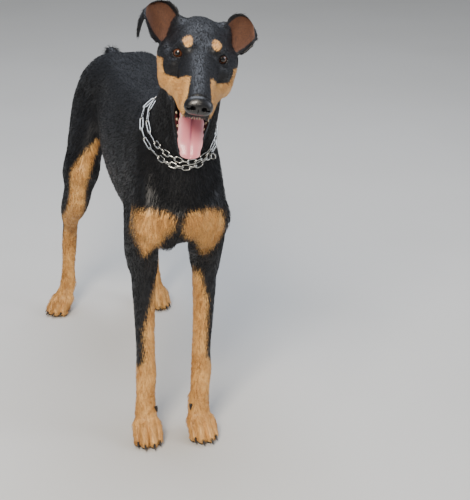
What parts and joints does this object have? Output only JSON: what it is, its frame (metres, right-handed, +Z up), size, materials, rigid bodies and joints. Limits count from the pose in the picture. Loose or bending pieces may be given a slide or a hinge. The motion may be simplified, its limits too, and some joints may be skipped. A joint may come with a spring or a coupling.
{
  "type": "standing doberman pinscher, still model",
  "caption": "Life-size still model of a standing doberman pinscher with its mouth open and tongue out, wearing a double steel chain collar.",
  "frame": {"origin": "middle of the model's footprint box, on the floor under the pads", "axes": "+X towards the dog's left, -Y along its body towards the head, +Z up"},
  "size_m": [0.3104, 1.1478, 0.9415],
  "materials": {
    "black_coat": "short glossy hair, black",
    "rust_coat": "short hair, rust",
    "nose_leather": "moist, pebbled, black",
    "eye": "wet, dark brown",
    "tongue": "moist, pink",
    "tooth": "glossy ivory",
    "claw": "horn, black",
    "steel": "polished steel wire"
  },
  "bodies": {
    "root": {"torso": "black_coat", "neck": "black_coat", "tail": "black_coat", "head": "black_coat", "jaw": "black_coat", "ear_right": "black_coat", "ear_left": "black_coat", "eye_right": "eye", "eye_left": "eye", "nose": "nose_leather", "tongue": "tongue", "foreleg_right": "black_coat", "foreleg_left": "black_coat", "hindleg_right": "black_coat", "hindleg_left": "black_coat", "forepaw_right": "rust_coat", "forepaw_left": "rust_coat", "hindpaw_right": "rust_coat", "hindpaw_left": "rust_coat", "collar_upper": "steel", "collar_lower": "steel"}
  },
  "joints": []
}
